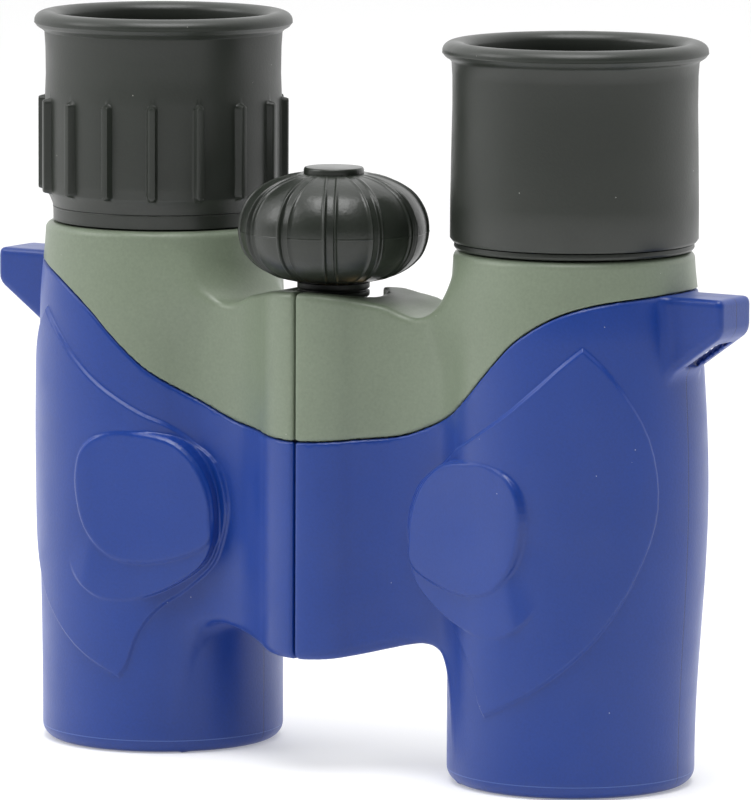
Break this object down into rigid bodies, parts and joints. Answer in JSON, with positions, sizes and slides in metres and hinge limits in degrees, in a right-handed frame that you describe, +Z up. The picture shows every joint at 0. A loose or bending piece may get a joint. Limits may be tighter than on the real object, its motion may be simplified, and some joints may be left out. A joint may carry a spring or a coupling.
{
  "type": "compact binoculars",
  "caption": "Compact roof-prism binoculars with rubber armour, a folding hinge, a segmented focus wheel, strap lugs and a ribbed dioptre eyecup.",
  "frame": {"origin": "on the floor in the middle of the footprint, with the binoculars standing on their objective ends", "axes": "+X across the two barrels from the dioptre barrel to the plain one, +Y away from the hinge side, +Z up the barrels from objectives to eyepieces"},
  "size_m": [0.1182, 0.0392, 0.1027],
  "materials": {
    "blue_armour": "satin",
    "grey_plastic": "satin",
    "eyecup_rubber": "matte",
    "wheel_rubber": "satin",
    "dark_plastic": "matte",
    "steel": "brushed",
    "light_metal": "satin",
    "brass_parts": "turned",
    "lens_glass": "polished"
  },
  "bodies": {
    "left_half": {"hinge_tube": "steel", "hinge_bottom_cap": "dark_plastic", "hinge_top_nut": "steel", "left_body": "grey_plastic", "left_armour": "blue_armour", "left_objective_trim_ring": "dark_plastic", "left_prism_cage": "dark_plastic", "left_half_prism": "lens_glass", "left_roof_prism": "lens_glass", "left_field_stop": "dark_plastic", "left_base_ring": "eyecup_rubber"},
    "right_half": {"right_body": "grey_plastic", "right_armour": "blue_armour", "right_objective_trim_ring": "dark_plastic", "right_prism_cage": "dark_plastic", "right_half_prism": "lens_glass", "right_roof_prism": "lens_glass", "right_field_stop": "dark_plastic", "right_base_ring": "eyecup_rubber", "right_eyepiece_tube": "dark_plastic", "right_eyecup": "eyecup_rubber", "right_eyepiece_cell": "dark_plastic", "right_field_lens": "lens_glass", "right_lens_spacer": "dark_plastic", "right_eye_lens": "lens_glass", "right_lens_retainer": "dark_plastic"},
    "focus_wheel_set": {"focus_wheel": "wheel_rubber", "focus_wheel_cap": "wheel_rubber", "focus_collar": "dark_plastic", "focus_screw": "brass_parts"},
    "focus_nut_ring": {"focus_nut": "brass_parts"},
    "left_focus_group": {"left_focus_arm": "light_metal", "left_objective_tube": "dark_plastic", "left_objective_retainer": "dark_plastic", "left_objective_crown": "lens_glass", "left_objective_flint": "lens_glass"},
    "right_focus_group": {"right_focus_arm": "light_metal", "right_objective_tube": "dark_plastic", "right_objective_retainer": "dark_plastic", "right_objective_crown": "lens_glass", "right_objective_flint": "lens_glass"},
    "dioptre_ring": {"left_eyepiece_tube": "dark_plastic", "left_eyecup": "eyecup_rubber"},
    "dioptre_cell": {"left_eyepiece_cell": "dark_plastic", "left_field_lens": "lens_glass", "left_lens_spacer": "dark_plastic", "left_eye_lens": "lens_glass", "left_lens_retainer": "dark_plastic"}
  },
  "joints": [
    {"name": "ipd_fold", "type": "hinge", "parent": "left_half", "child": "right_half", "pos_m": [0, -0.00665, 0.036], "axis": [0, 0, 1], "range_deg": [0, 54]},
    {"name": "focus_turn", "type": "hinge", "parent": "left_half", "child": "focus_wheel_set", "pos_m": [0, -0.00665, 0.0745], "axis": [0, 0, 1], "range_deg": [-225, 225]},
    {"name": "focus_nut_slide", "type": "slide", "parent": "left_half", "child": "focus_nut_ring", "axis": [0, 0, 1], "range_m": [-0.0015, 0.0015]},
    {"name": "left_focus_slide", "type": "slide", "parent": "left_half", "child": "left_focus_group", "axis": [0, 0, 1], "range_m": [-0.0015, 0.0015]},
    {"name": "right_focus_slide", "type": "slide", "parent": "right_half", "child": "right_focus_group", "axis": [0, 0, 1], "range_m": [-0.0015, 0.0015]},
    {"name": "dioptre_turn", "type": "hinge", "parent": "left_half", "child": "dioptre_ring", "pos_m": [-0.0336, 0.00155, 0.088], "axis": [0, 0, 1], "range_deg": [-60, 60]},
    {"name": "dioptre_slide", "type": "slide", "parent": "left_half", "child": "dioptre_cell", "axis": [0, 0, 1], "range_m": [-0.001, 0.001]}
  ],
  "couplings": [
    {"joint": "focus_nut_slide", "follows": "focus_turn", "m_per_rad": 0.00037815},
    {"joint": "left_focus_slide", "follows": "focus_turn", "m_per_rad": 0.00037815},
    {"joint": "right_focus_slide", "follows": "focus_turn", "m_per_rad": 0.00037815},
    {"joint": "dioptre_slide", "follows": "dioptre_turn", "m_per_rad": 0.00094538}
  ]
}
